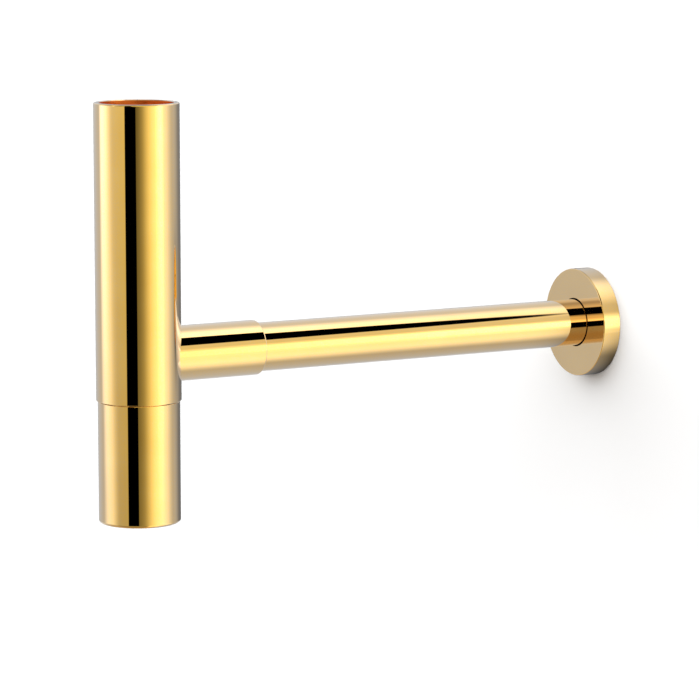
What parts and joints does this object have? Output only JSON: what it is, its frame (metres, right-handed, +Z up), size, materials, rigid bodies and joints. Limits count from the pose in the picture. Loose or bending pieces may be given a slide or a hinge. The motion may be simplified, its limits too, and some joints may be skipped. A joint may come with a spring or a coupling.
{
  "type": "basin trap",
  "caption": "Slim upright bottle trap for a wash basin: open-topped body, screw-off cleaning cup, straight outlet pipe and round wall flange, polished gold finish.",
  "frame": {"origin": "centre of the coupling nut's mouth, where the basin waste screws in", "axes": "+Z up along the inlet, +Y along the outlet pipe towards the wall, +X across"},
  "size_m": [0.074, 0.425, 0.271],
  "materials": {
    "polished_gold": "mirror-polished gold-coloured coating over brass",
    "turned_brass": "turned, uncoated",
    "black_rubber": "moulded, matt",
    "white_nylon": "moulded, matt"
  },
  "bodies": {
    "trap_body": {"trap_body": "polished_gold", "cone_seal": "black_rubber", "spur_seal_inner": "black_rubber", "spur_seal_outer": "black_rubber"},
    "inlet_tube": {"inlet_tube": "turned_brass", "inlet_gasket": "black_rubber"},
    "coupling_nut": {"coupling_nut": "turned_brass"},
    "slip_washer": {"slip_washer": "white_nylon"},
    "gland_nut": {"gland_nut": "turned_brass"},
    "cup_seal": {"cup_seal": "black_rubber"},
    "cleaning_cup": {"cleaning_cup": "polished_gold"},
    "outlet_pipe": {"outlet_pipe": "polished_gold"},
    "wall_flange": {"wall_flange": "polished_gold", "flange_grip_ring": "black_rubber"}
  },
  "joints": [
    {"name": "inlet_height", "type": "slide", "parent": "trap_body", "child": "inlet_tube", "axis": [0, 0, 1], "range_m": [-0.012, 0.04]},
    {"name": "nut_turn", "type": "hinge", "parent": "inlet_tube", "child": "coupling_nut", "pos_m": [0, 0, -0.009], "axis": [0, 0, 1], "continuous": true},
    {"name": "gland_rise", "type": "slide", "parent": "trap_body", "child": "slip_washer", "axis": [0, 0, 1], "range_m": [0, 0.003]},
    {"name": "gland_turn", "type": "hinge", "parent": "slip_washer", "child": "gland_nut", "pos_m": [0, 0, -0.045], "axis": [0, 0, 1], "range_deg": [0, 720]},
    {"name": "cup_drop", "type": "slide", "parent": "trap_body", "child": "cup_seal", "axis": [0, 0, -1], "range_m": [0, 0.012]},
    {"name": "cup_turn", "type": "hinge", "parent": "cup_seal", "child": "cleaning_cup", "pos_m": [0, 0, -0.1837], "axis": [0, 0, -1], "range_deg": [0, 2160]},
    {"name": "pipe_slide", "type": "slide", "parent": "trap_body", "child": "outlet_pipe", "axis": [0, 1, 0], "range_m": [0, 0.02]},
    {"name": "flange_slide", "type": "slide", "parent": "outlet_pipe", "child": "wall_flange", "axis": [0, -1, 0], "range_m": [0, 0.248]}
  ],
  "couplings": [
    {"joint": "gland_rise", "follows": "gland_turn", "m_per_rad": 0.00023873},
    {"joint": "cup_drop", "follows": "cup_turn", "m_per_rad": 0.0003183}
  ]
}
